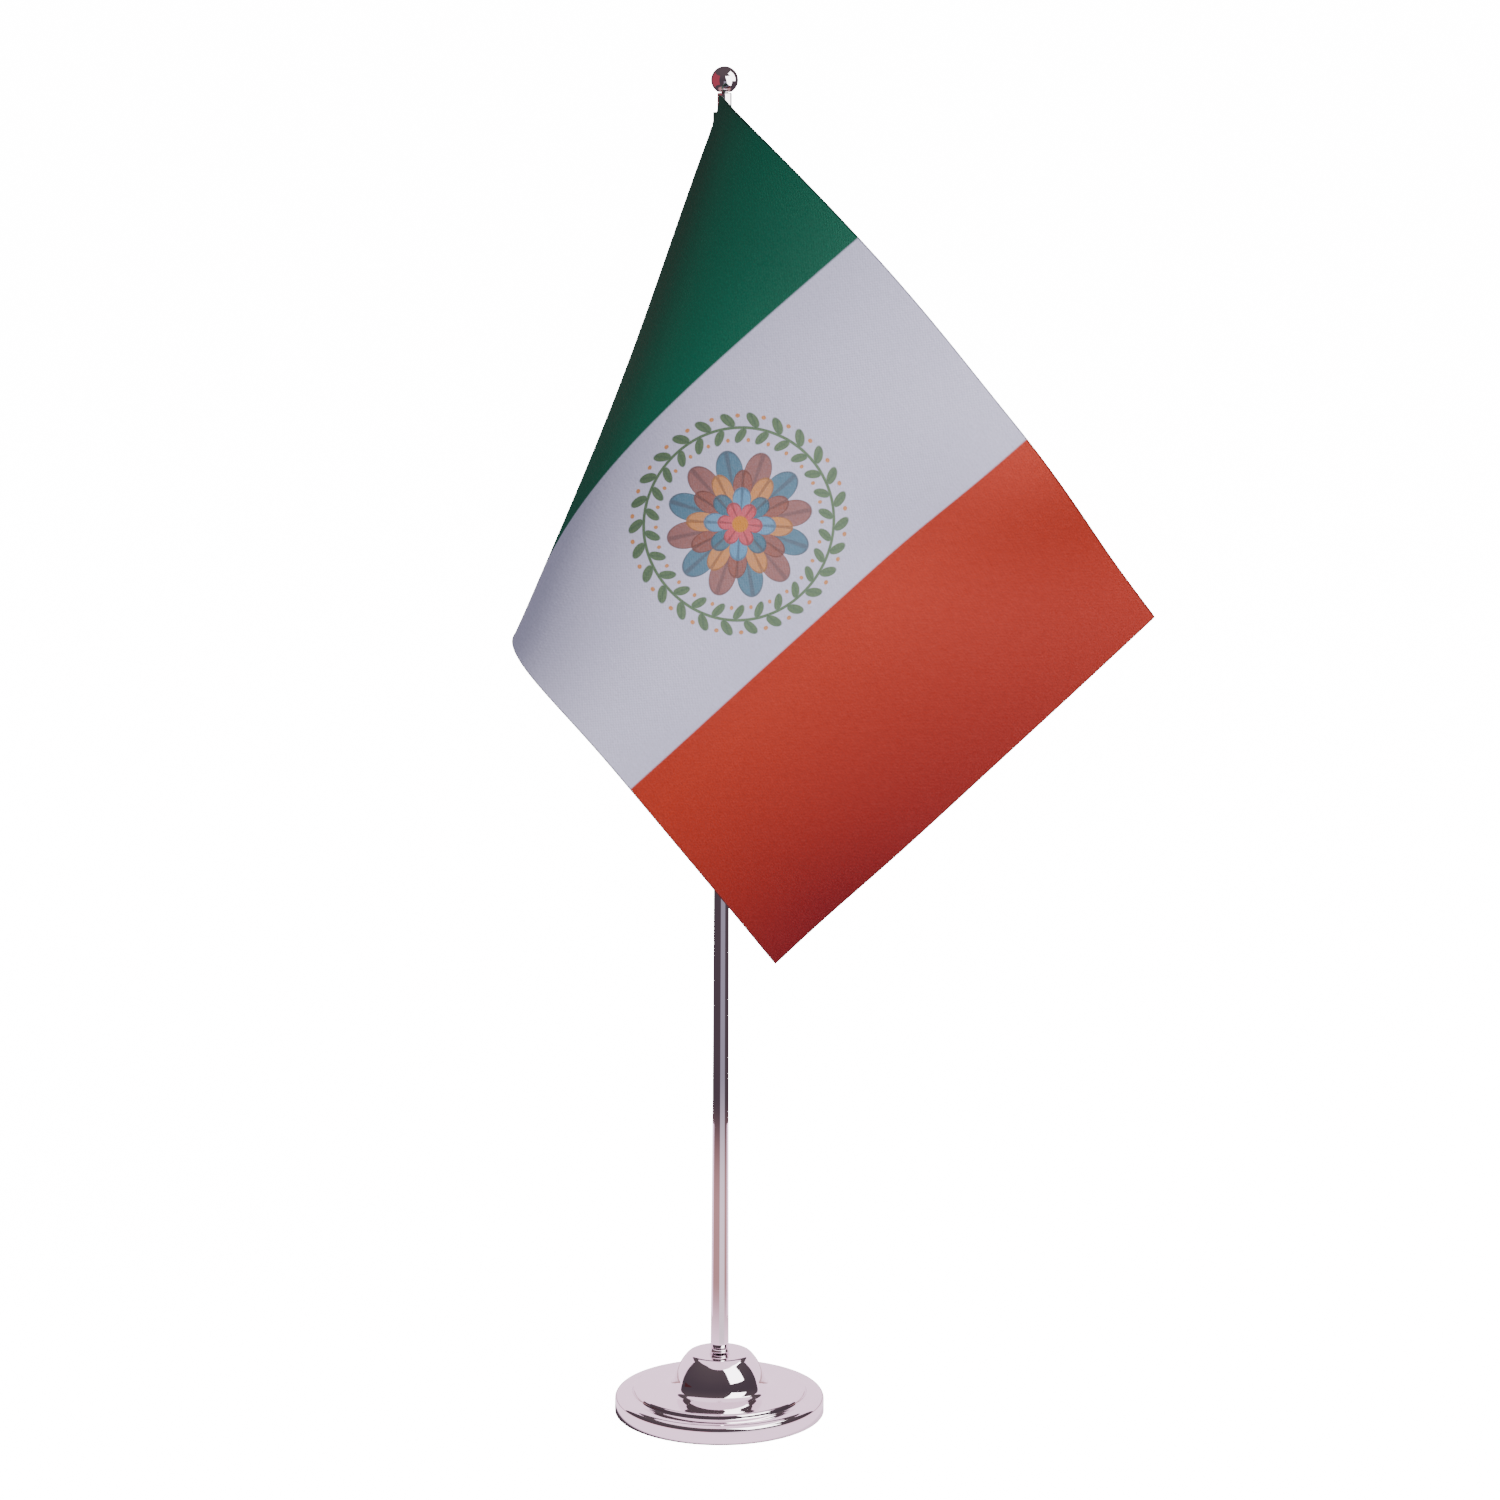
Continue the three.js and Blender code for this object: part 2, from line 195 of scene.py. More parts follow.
def steel_finish():
    finish = Finish("zinc_steel")
    place = finish.place()
    grain = finish.noise(place, 1500.0, 4.0)
    cloud = finish.noise(place, 260.0, 3.0)
    finish.set(
        Base_Color=finish.mix(cloud, linear(150, 152, 158), linear(196, 196, 190)),
        Metallic=1.0,
        Roughness=finish.remap(grain, 0.3, 0.7, 0.26, 0.45),
        Normal=finish.bump(grain, 0.000004),
    )
    return finish.material


def iron_finish():
    finish = Finish("raw_casting")
    place = finish.place()
    sand = finish.noise(place, 1100.0, 5.0, 0.65)
    cloud = finish.noise(place, 120.0, 3.0)
    finish.set(
        Base_Color=finish.mix(cloud, linear(72, 70, 70), linear(98, 88, 80)),
        Metallic=0.85,
        Roughness=finish.remap(sand, 0.3, 0.7, 0.55, 0.8),
        Normal=finish.bump(sand, 0.00006),
    )
    return finish.material


def board_finish():
    finish = Finish("pressed_board")
    place = finish.place()
    fibres = finish.noise(place, 700.0, 6.0, 0.7)
    finish.set(
        Base_Color=finish.mix(fibres, linear(120, 104, 82), linear(160, 144, 116)),
        Roughness=finish.remap(fibres, 0.3, 0.7, 0.8, 0.95),
        Normal=finish.bump(fibres, 0.00003),
    )
    return finish.material


def felt_finish():
    finish = Finish("dense_felt")
    place = finish.place()
    fibres = finish.noise(place, 1400.0, 6.0, 0.75)
    pilling = finish.noise(place, 320.0, 3.0)
    finish.set(
        Base_Color=finish.mix(fibres, linear(22, 22, 26), linear(56, 55, 60)),
        Roughness=finish.remap(pilling, 0.3, 0.7, 0.88, 1.0),
        Sheen_Weight=0.35,
        Sheen_Roughness=0.6,
        Normal=finish.bump(finish.math("ADD", fibres, pilling), 0.00012),
    )
    return finish.material


def rubber_finish():
    finish = Finish("soft_rubber")
    place = finish.place()
    bloom = finish.noise(place, 420.0, 3.0)
    skin = finish.noise(place, 2600.0, 2.0)
    finish.set(
        Base_Color=finish.mix(bloom, linear(30, 30, 32), linear(52, 52, 54)),
        Roughness=finish.remap(bloom, 0.3, 0.7, 0.48, 0.72),
        Normal=finish.bump(skin, 0.00001),
    )
    return finish.material


# ---- The printed satin, with painted light and shade on its green and red ------------------------
# The two greens are a shaded copy and a lit copy of one green: painted shade and painted light.
GREEN_PAINTED_SHADE, GREEN_PAINTED_LIGHT = linear(0, 78, 60), linear(0, 106, 82)
WHITE_CLOTH, WHITE_SHADE = linear(202, 198, 226), linear(190, 187, 218)
# The two reds are painted sheen and painted shade: a lit orange copy and a shaded crimson copy of one red.
RED_PAINTED_SHEEN, RED_PAINTED_SHADE = linear(158, 36, 10), linear(102, 0, 12)
LEAF_GREEN, LEAF_DARK = linear(88, 114, 62), linear(38, 74, 34)
TEAL, BROWN, OCHRE = linear(14, 90, 114), linear(124, 58, 30), linear(192, 120, 40)
ROSE, SKY = linear(192, 50, 60), linear(66, 134, 176)
PRINT_LINE, PRINT_SHADE = linear(58, 44, 40), linear(20, 16, 24)
BAND_WIDTH, BAND_BLUR = FLAG_FLY / 3, 0.3
THREAD_SPACING = 0.62
WREATH_RADIUS, WREATH_LEAVES = 25.2, 26
EMBLEM_U, EMBLEM_V = 106.5, 73.0  # a little off the middle of the white band


def wreath(finish, radius, angle):
    """Leaf, vein and berry masks of a closed ring of slanted leaves on both sides of a thin stem."""
    out = finish.math("SUBTRACT", radius, WREATH_RADIUS)
    outward = finish.math("ABSOLUTE", out)
    inner_side = finish.math("LESS_THAN", out, 0.0)
    turns = finish.math("MULTIPLY", angle, WREATH_LEAVES / math.tau)
    turns = finish.math("ADD", turns, finish.math("MULTIPLY", inner_side, 0.5))
    pitch = math.tau * WREATH_RADIUS / WREATH_LEAVES
    along = finish.math("MULTIPLY", finish.math("SUBTRACT", finish.math("FRACT", turns), 0.5), pitch)
    slant = finish.math("SUBTRACT", along, finish.math("MULTIPLY", outward, 0.5))
    slant = finish.math("ADD", slant, 1.0)
    across = finish.math("POWER", finish.math("DIVIDE", slant, 1.5), 2.0)
    up = finish.math("POWER", finish.math("DIVIDE", finish.math("SUBTRACT", outward, 2.1), 2.1), 2.0)
    oval = finish.math("ADD", across, up)
    leaf = finish.remap(oval, 0.75, 1.05, 1.0, 0.0)
    stem = finish.remap(outward, 0.3, 0.5, 1.0, 0.0)
    vein = finish.remap(finish.math("ABSOLUTE", slant), 0.1, 0.45, 1.0, 0.0)
    berry_along = finish.math("ADD", along, 2.3)
    spot = finish.math("ADD", finish.math("POWER", berry_along, 2.0),
                       finish.math("POWER", finish.math("SUBTRACT", outward, 3.2), 2.0))
    berry = finish.remap(spot, 0.2, 0.45, 1.0, 0.0)
    return finish.math("MAXIMUM", leaf, stem), vein, berry


def petals(finish, radius, angle, count, inner, outer, turn=0.0):
    """(mask, outline, centre vein) of one ring of rounded petals."""
    wave = finish.math("ABSOLUTE", finish.math("COSINE", finish.math(
        "MULTIPLY", finish.math("ADD", angle, turn), count / 2)))
    bulge = finish.math("MULTIPLY", finish.math("POWER", wave, 0.55), outer - inner)
    reach = finish.math("ADD", bulge, inner)
    room = finish.math("SUBTRACT", reach, radius)
    mask = finish.remap(room, -0.15, 0.15)
    outline = finish.remap(room, 0.35, 0.75, 1.0, 0.0)
    vein = finish.remap(wave, 0.965, 0.995)
    return mask, outline, vein


def emblem(finish, ground, u, v, mottle):
    """A leaf wreath round a plain rosette, printed on the middle band."""
    x = finish.math("SUBTRACT", u, EMBLEM_U)
    y = finish.math("SUBTRACT", EMBLEM_V, v)
    radius = finish.distance(x, y)
    angle = finish.math("ARCTAN2", y, x)
    leaf, vein, berry = wreath(finish, radius, angle)
    green = finish.mix(mottle, LEAF_DARK, LEAF_GREEN)
    green = finish.mix(finish.math("MULTIPLY", vein, 0.45), green, LEAF_DARK)
    colour = finish.mix(finish.math("MULTIPLY", leaf, 0.92), ground, green)
    colour = finish.mix(finish.math("MULTIPLY", berry, 0.9), colour, OCHRE)
    rings = (
        (12, 12.5, 19.5, 0.0, BROWN, TEAL),
        (12, 9.0, 14.2, math.pi / 12, OCHRE, BROWN),
        (8, 5.6, 9.6, 0.0, TEAL, SKY),
        (6, 3.2, 6.0, 0.3, ROSE, ROSE),
    )
    for count, inner, outer, turn, first, second in rings:
        mask, outline, middle = petals(finish, radius, angle, count, inner, outer, turn)
        turns = finish.math("MULTIPLY", finish.math("ADD", angle, turn + math.pi / count), count / math.tau)
        other = finish.math("GREATER_THAN", finish.math("FRACT", finish.math("MULTIPLY", turns, 0.5)), 0.5)
        ink = finish.mix(other, first, second)
        ink = finish.mix(finish.math("MULTIPLY", mottle, 0.16), ink, WHITE_CLOTH)
        ink = finish.mix(finish.math("MULTIPLY", finish.math("MAXIMUM", outline, middle), 0.5), ink,
                         PRINT_LINE)
        colour = finish.mix(finish.math("MULTIPLY", mask, 0.94), colour, ink)
    centre = finish.remap(radius, 1.9, 2.3, 1.0, 0.0)
    return finish.mix(centre, colour, OCHRE)


def satin_finish(name, plain_green=False):
    """Printed satin. The attribute cloth gives each point's place on the flat flag, in millimetres."""
    finish = Finish(name)
    flat = finish.attribute("cloth")
    u, v, edge = finish.separate(flat)
    grain = finish.noise(flat, 1.3, 3.0, 0.6)
    stretched = finish.combine(finish.math("MULTIPLY", u, 0.35), finish.math("MULTIPLY", v, 2.2), 0.0)
    slub = finish.noise(stretched, 1.0, 2.0)
    cloud = finish.noise(flat, 0.03, 2.0)
    warp, weft = (finish.math("SINE", finish.math("MULTIPLY", place, math.tau / THREAD_SPACING))
                  for place in (u, v))
    threads = finish.math("MULTIPLY", warp, weft)
    # Painted light and shade: the green is painted darker towards the top and lighter towards the bottom.
    green = finish.mix(finish.remap(v, 20.0, FLAG_HOIST), GREEN_PAINTED_SHADE, GREEN_PAINTED_LIGHT)
    if plain_green:
        colour = green
    else:
        white = finish.mix(cloud, WHITE_SHADE, WHITE_CLOTH)
        white = emblem(finish, white, u, v, grain)
        # Painted sheen and shade: the red is orange towards the hoist and the top, and deep crimson towards
        # the lower fly corner.
        painted_red_shade = finish.math("MULTIPLY", finish.remap(u, 150.0, 212.0),
                           finish.remap(v, -60.0, 120.0), clamp=True)
        red = finish.mix(painted_red_shade, RED_PAINTED_SHEEN, RED_PAINTED_SHADE)
        colour = green
        for line, band in ((BAND_WIDTH, white), (2 * BAND_WIDTH, red)):
            colour = finish.mix(finish.remap(u, line - BAND_BLUR, line + BAND_BLUR), colour, band)
    dark = finish.math("ADD", finish.remap(grain, 0.3, 0.7, 0.0, 0.1),
                       finish.remap(slub, 0.3, 0.7, 0.0, 0.07))
    dark = finish.math("ADD", dark, finish.math("MULTIPLY", edge, 0.4), clamp=True)
    finish.set(
        Base_Color=finish.mix(dark, colour, PRINT_SHADE),
        Roughness=finish.remap(slub, 0.3, 0.7, 0.46, 0.6),
        Specular_IOR_Level=0.22,
        Sheen_Weight=0.04,
        Sheen_Roughness=0.45,
        Normal=finish.bump(finish.math("ADD", finish.math("MULTIPLY", threads, 0.5), slub), 0.00003),
    )
    return finish.material


def thread_finish():
    finish = Finish("sewing_thread")
    place = finish.place()
    twist = finish.noise(place, 2200.0, 2.0)
    finish.set(
        Base_Color=finish.mix(twist, linear(0, 66, 46), linear(10, 104, 76)),
        Roughness=finish.remap(twist, 0.3, 0.7, 0.4, 0.65),
        Sheen_Weight=0.3,
        Normal=finish.bump(twist, 0.00004),
    )
    return finish.material


CHROME_TINT = (0.86, 0.80, 0.835, 1.0)
CHROME_ROUND = chrome_finish("chrome_polished_round", CHROME_TINT, along_axis=False)
CHROME_ALONG = chrome_finish("chrome_polished_along", CHROME_TINT, along_axis=True)
STEEL, IRON, BOARD = steel_finish(), iron_finish(), board_finish()
FELT, RUBBER, THREAD = felt_finish(), rubber_finish(), thread_finish()
SATIN, SATIN_GREEN = satin_finish("printed_satin"), satin_finish("green_satin", plain_green=True)


# ---- Mesh helpers --------------------------------------------------------------------------------
def make_piece(name, points, faces, material, smooth=True, sharp_angle=None):
    """A mesh object from points in millimetres."""
    mesh = bpy.data.meshes.new(name)
    mesh.from_pydata((np.asarray(points, dtype=float) * MM).tolist(), [], faces)
    mesh.validate()
    mesh.polygons.foreach_set("use_smooth", [smooth] * len(mesh.polygons))
    if sharp_angle is not None:
        mesh.set_sharp_from_angle(angle=math.radians(sharp_angle))
    mesh.materials.append(material)
    piece = bpy.data.objects.new(name, mesh)
    bpy.context.collection.objects.link(piece)
    return piece


def turned(name, outline, sides, material, sharp_angle=32):
    """A closed solid turned about Z from (radius, height) pairs. A radius of 0 is one shared point."""
    closed = outline[0] == outline[-1]
    if closed:
        outline = outline[:-1]
    points, rings = [], []
    for radius, height in outline:
        if radius < 1e-6:
            rings.append([len(points)] * sides)
            points.append((0.0, 0.0, height))
            continue
        rings.append(list(range(len(points), len(points) + sides)))
        for k in range(sides):
            angle = math.tau * k / sides
            points.append((radius * math.cos(angle), radius * math.sin(angle), height))
    faces = []
    count = len(rings)
    for i in range(count if closed else count - 1):
        low, high = rings[i], rings[(i + 1) % count]
        for k in range(sides):
            n = (k + 1) % sides
            corners = [low[k], low[n], high[n], high[k]]
            distinct = list(dict.fromkeys(corners))
            if len(distinct) > 2:
                faces.append(distinct)
    return make_piece(name, points, faces, material, sharp_angle=sharp_angle)


def rounded(points, steps):
    """A smooth line through (radius, height) points, with its own points at even distances."""
    line = smooth_line(np.asarray(points, dtype=float), steps * (len(points) - 1) + 1)
    return [tuple(map(float, point)) for point in line]


def smooth_line(points, count):
    """count points at even distances along a centripetal Catmull-Rom curve through points."""
    ends = np.vstack([2 * points[0] - points[1], points, 2 * points[-1] - points[-2]])
    gaps = np.maximum(np.sum(np.diff(ends, axis=0) ** 2, axis=1) ** 0.25, 1e-6)
    fine = []
    steps = 40
    for i in range(1, len(ends) - 2):
        p0, p1, p2, p3 = ends[i - 1:i + 3]
        d0, d1, d2 = gaps[i - 1:i + 2]
        t1 = ((p1 - p0) / d0 - (p2 - p0) / (d0 + d1) + (p2 - p1) / d1) * d1
        t2 = ((p2 - p1) / d1 - (p3 - p1) / (d1 + d2) + (p3 - p2) / d2) * d1
        t = np.linspace(0, 1, steps, endpoint=False)[:, None]
        fine.append(p1 + t1 * t + (3 * (p2 - p1) - 2 * t1 - t2) * t ** 2
                    + (2 * (p1 - p2) + t1 + t2) * t ** 3)
    fine = np.vstack(fine + [points[-1:]])
    lengths = np.concatenate([[0], np.cumsum(np.linalg.norm(np.diff(fine, axis=0), axis=1))])
    stations = np.linspace(0, lengths[-1], count)
    return np.column_stack([np.interp(stations, lengths, fine[:, k]) for k in range(fine.shape[1])])


def line_length(points):
    fine = smooth_line(points, 800)
    return float(np.sum(np.linalg.norm(np.diff(fine, axis=0), axis=1)))


# ---- Base ----------------------------------------------------------------------------------------
SHELL_SIDES = 192
cover_side = [(30.0, 0.7), (30.0, 4.2)]
cover_top = [
    (30.0, 4.2), (29.9, 4.85), (29.5, 5.5), (28.8, 5.9), (27.9, 6.02), (26.6, 6.06), (25.7, 6.1),
    (25.1, 6.25), (24.85, 6.6), (24.75, 7.05), (24.55, 7.4), (24.1, 7.55), (23.0, 7.58), (20.0, 7.6),
    (17.2, 7.63), (15.9, 7.7), (14.8, 7.95), (13.95, 8.45), (13.35, 9.25), (12.95, 10.2), (12.62, 11.4),
    (12.15, 12.8), (11.5, 14.2), (10.75, 15.5), (9.95, 16.6), (9.35, 17.3), (8.75, 17.78), (7.9, 17.98),
    (6.5, 18.0),
]
cover_outline = cover_side + rounded(cover_top, 4)[1:] + [
    (2.0, 18.0), (2.0, 17.0), (7.9, 17.0), (8.9, 15.9), (10.3, 13.6), (11.2, 11.9), (11.7, 10.6),
    (12.1, 9.3), (12.9, 7.7), (14.4, 6.95), (16.5, 6.65), (23.7, 6.5), (24.0, 5.4), (25.4, 5.05),
    (28.6, 4.9), (29.0, 4.2), (29.0, 0.7), (30.0, 0.7),
]
cover = turned("base_shell", cover_outline, SHELL_SIDES, CHROME_ROUND)
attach(cover, "base")
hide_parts("base_cover")

random.seed(7)
felt_outline = [(0.0, 0.0), (9.0, 0.0), (18.0, 0.0), (26.0, 0.0), (28.0, 0.03), (28.3, 0.22), (28.32, 0.6),
                (28.28, 0.98), (28.0, 1.17), (20.0, 1.2), (0.0, 1.2)]
pad = turned("felt_disc", felt_outline, 160, FELT)
FELT_RIM = 27.9 * MM
for corner in pad.data.vertices:
    # Only the corners of the cut edge, which wanders a little in and out.
    if math.hypot(corner.co.x, corner.co.y) > FELT_RIM and 0.1 * MM < corner.co.z < 1.1 * MM:
        corner.co *= 1 + random.uniform(-0.0022, 0.0005)
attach(pad, "base")
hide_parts("felt_pad")


# ---- Rod, ring, studs and ball -------------------------------------------------------------------
def rod_radius(height):
    return TIP_RADIUS + FOOT_FLARE * math.exp((ROD_BOTTOM_Z - height) / FLARE_LENGTH)


ROD_STATIONS, ROD_EDGE = 72, 0.22
FOOT_HOLE_RADIUS, FOOT_HOLE_TOP_Z, TIP_HOLE_BOTTOM_Z = 1.8, 28.05, 369.45
rod_side = []
for step in range(ROD_STATIONS + 1):
    share = (step / ROD_STATIONS) ** 1.3
    height = ROD_BOTTOM_Z + ROD_EDGE + share * (ROD_TOP_Z - ROD_BOTTOM_Z - 2 * ROD_EDGE)
    rod_side.append((rod_radius(height), height))
rod_outline = (
    [(0.0, FOOT_HOLE_TOP_Z), (FOOT_HOLE_RADIUS, FOOT_HOLE_TOP_Z), (FOOT_HOLE_RADIUS, ROD_BOTTOM_Z),
     (rod_radius(ROD_BOTTOM_Z) - 0.2, ROD_BOTTOM_Z), (rod_radius(ROD_BOTTOM_Z) - 0.06, ROD_BOTTOM_Z + 0.07)]
    + rod_side
    + [(rod_radius(ROD_TOP_Z) - 0.06, ROD_TOP_Z - 0.07), (rod_radius(ROD_TOP_Z) - 0.2, ROD_TOP_Z),
       (STUD_HOLE_RADIUS, ROD_TOP_Z), (STUD_HOLE_RADIUS, TIP_HOLE_BOTTOM_Z), (0.0, TIP_HOLE_BOTTOM_Z)]
)
rod = turned("polished_rod", rod_outline, 96, CHROME_ALONG)
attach(rod, "rod")
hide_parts("tapered_rod")

RING_RADIUS, RING_BULGE, RING_Z, RING_HALF_HEIGHT, RING_STEPS = 2.53, 0.42, 18.85, 0.55, 24
ring_section = []
for step in range(RING_STEPS + 1):
    angle = math.pi * (step / RING_STEPS - 0.5)
    ring_section.append((RING_RADIUS + RING_BULGE * math.cos(angle),
                         RING_Z + RING_HALF_HEIGHT * math.sin(angle)))
ring_outline = [(1.75, 18.4), (1.85, 18.3)] + ring_section + [(1.85, 19.4), (1.75, 19.3), (1.75, 18.4)]
foot_ring = turned("foot_collar", ring_outline, 96, CHROME_ROUND)
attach(foot_ring, "foot_ring")
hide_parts("foot_ring")


def threaded_bar(name, radius, bottom, top, pitch, depth):
    """A stud with a true helical thread and chamfered ends."""
    sides = 48
    rows = max(8, int((top - bottom) / pitch * 8))
    points, faces = [], []
    for i in range(rows + 1):
        height = bottom + (top - bottom) * i / rows
        end = min(height - bottom, top - height)
        for k in range(sides):
            turn = k / sides
            phase = ((height - bottom) / pitch - turn) % 1.0
            crest = 1 - abs(2 * phase - 1)
            reach = radius - depth * (1 - min(1.0, crest * 1.6))
            reach = min(reach, radius - depth + end)
            points.append((reach * math.cos(math.tau * turn), reach * math.sin(math.tau * turn), height))
    for i in range(rows):
        for k in range(sides):
            n = (k + 1) % sides
            faces.append((i * sides + k, i * sides + n, (i + 1) * sides + n, (i + 1) * sides + k))
    low, high = len(points), len(points) + 1
    points += [(0.0, 0.0, bottom), (0.0, 0.0, top)]
    for k in range(sides):
        n = (k + 1) % sides
        faces.append((low, n, k))
        faces.append((high, rows * sides + k, rows * sides + n))
    return make_piece(name, points, faces, STEEL, sharp_angle=40)


base_stud = threaded_bar("threaded_foot_stud", 1.5, 3.0, 27.7, 0.5, 0.27)
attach(base_stud, "rod")
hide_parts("base_stud")
tip_stud = threaded_bar("threaded_tip_stud", 1.0, 369.8, 379.5, 0.4, 0.2)
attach(tip_stud, "finial_stud")
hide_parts("finial_stud")

seat_z = BALL_CENTRE_Z - math.sqrt(BALL_RADIUS ** 2 - SEAT_RADIUS ** 2)
seat_angle = math.asin(SEAT_RADIUS / BALL_RADIUS)
BALL_STEPS, BALL_HOLE_DEPTH = 60, 3.75
ball_outline = [(0.0, seat_z + BALL_HOLE_DEPTH), (STUD_HOLE_RADIUS, seat_z + BALL_HOLE_DEPTH),
                (STUD_HOLE_RADIUS, seat_z)]
for step in range(BALL_STEPS + 1):
    angle = seat_angle + step / BALL_STEPS * (math.pi - seat_angle)
    radius = 0.0 if step == BALL_STEPS else BALL_RADIUS * math.sin(angle)
    ball_outline.append((radius, BALL_CENTRE_Z - BALL_RADIUS * math.cos(angle)))
ball = turned("polished_ball", ball_outline, 96, CHROME_ROUND)
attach(ball, "finial")
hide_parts("finial_ball")

STOP_RADIUS, STOP_THICKNESS, STOP_Z, STOP_STEPS = 3.2, 0.9, 234.4, 32
stop_section = []
for step in range(STOP_STEPS):
    angle = -math.tau * step / STOP_STEPS
    flash = 0.05 if step == STOP_STEPS // 2 else 0.0  # the fine line where the mould closed
    stop_section.append((STOP_RADIUS - (STOP_THICKNESS + flash) * math.cos(angle),
                         STOP_Z + STOP_THICKNESS * math.sin(angle)))
stop_section.append(stop_section[0])
stop = turned("rubber_stop", stop_section, 64, RUBBER)
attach(stop, "stop_ring")
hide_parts("stop_ring")

for node, material in (
    ("ballast_weight", IRON),
    ("captive_nut", STEEL),
    ("spring_washer", STEEL),
    ("backing_disc", BOARD),
):
    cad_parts[node].data.materials.clear()
    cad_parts[node].data.materials.append(material)

# ---- Flag ----------------------------------------------------------------------------------------
# Three lines from the hoist to the fly: the top edge, the middle and the bottom edge. Each starts on
# the sleeve, swings out to the left and comes back across the front. Points are x, y and the drop
# below the flag's top.
HOIST_X, HOIST_Y = -1.5, -3.35
TOP_EDGE = [(HOIST_X, HOIST_Y, 0), (3, -23, 4), (15, -35, 14), (35, -46, 34), (55, -52, 56),
            (79, -49, 88), (101, -34, 117), (118, -23, 139)]
MIDDLE = [(HOIST_X, HOIST_Y, 70), (-17, -16, 70), (-27, -33, 70), (-22, -51, 76), (3, -68, 101),
          (28, -63, 131), (50, -50, 162), (67, -39, 184)]
BOTTOM_EDGE = [(HOIST_X, HOIST_Y, 140), (-34, -28, 139), (-54, -50, 139), (-54, -70, 142),
               (-40, -82, 155), (-18, -77, 181), (0, -67, 207), (16, -55, 229)]


def rail(points):
    """The line with its drops turned into heights, scaled about its start to the fly's length."""
    line = np.array([(x, y, FLAG_TOP_Z - drop) for x, y, drop in points], dtype=float)
    return line[0] + (line - line[0]) * FLAG_FLY / line_length(line)


RAILS = [rail(points) for points in (TOP_EDGE, MIDDLE, BOTTOM_EDGE)]


def coarse_cloth(columns, rows):
    """The sheet between the three lines, a parabola from edge to edge: an array rows, columns, xyz."""
    upper, centre, lower = (smooth_line(line, columns) for line in RAILS)
    share = np.linspace(0, 1, rows)[:, None, None]
    return (upper * 2 * (share - 0.5) * (share - 1) + centre * 4 * share * (1 - share)
            + lower * 2 * share * (share - 0.5))


def refine(sheet, columns, rows):
    """The same sheet on a finer grid, by smooth curves along both directions."""
    wide = np.stack([cubic(row, columns) for row in sheet])
    return np.stack([cubic(wide[:, k], rows) for k in range(columns)], axis=1)


def cubic(points, count):
    """count points on a uniform Catmull-Rom curve, evenly in its parameter."""
    ends = np.vstack([2 * points[0] - points[1], points, 2 * points[-1] - points[-2]])
    where = np.linspace(0, len(points) - 1, count)
    cell = np.minimum(where.astype(int), len(points) - 2)
    t = (where - cell)[:, None]
    p0, p1, p2, p3 = (ends[cell + k] for k in range(4))
    return 0.5 * (2 * p1 + (p2 - p0) * t + (2 * p0 - 5 * p1 + 4 * p2 - p3) * t ** 2
                  + (3 * p1 - p0 - 3 * p2 + p3) * t ** 3)


CLOTH_STEP = 5.0
COARSE_COLUMNS, COARSE_ROWS = int(FLAG_FLY / CLOTH_STEP) + 1, int(FLAG_HOIST / CLOTH_STEP) + 1
SETTLING_ROUNDS, HELD_ROUNDS, SMOOTHING = 600, 480, 0.4
# Where a few places of the cloth hang: flat place (u, v), then where it is in space.
HELD_PLACES = [
    (70, 0, (37, -47, 342)), (140, 0, (79, -48, 287)), (210, 0, (118, -23, 237)),
    (210, 140, (16, -55, 147)), (140, 140, (-24, -79, 200)), (70, 140, (-56, -50, 237)),
]


def settled_cloth(sheet):
    """Relaxes the sheet until its threads have their own length again, so it bends but hardly stretches.

    The hoist and a few places are held while the rest finds its smooth shape. Then the places go free.
    """
    rows, columns = sheet.shape[:2]
    places = sheet.reshape(-1, 3).copy()
    number = np.arange(rows * columns).reshape(rows, columns)
    threads = []
    for first, second, rest, by_column in (
        (number[:, :-1], number[:, 1:], CLOTH_STEP, True),
        (number[:-1], number[1:], CLOTH_STEP, False),
        (number[:-1, :-1], number[1:, 1:], CLOTH_STEP * math.sqrt(2), True),
        (number[1:, :-1], number[:-1, 1:], CLOTH_STEP * math.sqrt(2), True),
    ):
        for turn in (0, 1):
            every_other, all_of_them = slice(turn, None, 2), slice(None)
            pick = (all_of_them, every_other) if by_column else (every_other, all_of_them)
            threads.append((first[pick].ravel(), second[pick].ravel(), rest))
    held = [number[int(v / CLOTH_STEP), int(u / CLOTH_STEP)] for u, v, _ in HELD_PLACES]
    held = np.concatenate([number[:, 0], held])
    held_at = np.vstack([places[number[:, 0]], [place for _, _, place in HELD_PLACES]]).astype(float)
    free = np.ones(rows * columns)
    free[held] = 0
    for turn in range(SETTLING_ROUNDS):
        if turn == HELD_ROUNDS:
            held, held_at = number[:, 0], held_at[:rows]
            free[:] = 1
            free[held] = 0
        grid = places.reshape(rows, columns, 3)
        for axis in (0, 1):
            lines = np.moveaxis(grid, axis, 0)
            bend = (lines[:-2] + lines[2:]) / 2 - lines[1:-1]
            change = np.zeros_like(lines)
            change[1:-1] += bend * 0.5
            change[:-2] -= bend * 0.25
            change[2:] -= bend * 0.25
            grid += np.moveaxis(change, 0, axis) * SMOOTHING * free.reshape(rows, columns, 1)
        for first, second, rest in threads:
            gap = places[second] - places[first]
            length = np.linalg.norm(gap, axis=1)
            share = np.maximum(free[first] + free[second], 1e-9)
            pull = ((length - rest) / length / share)[:, None] * gap
            places[first] += pull * free[first][:, None]
            places[second] -= pull * free[second][:, None]
        places[held] = held_at
    return places.reshape(rows, columns, 3)


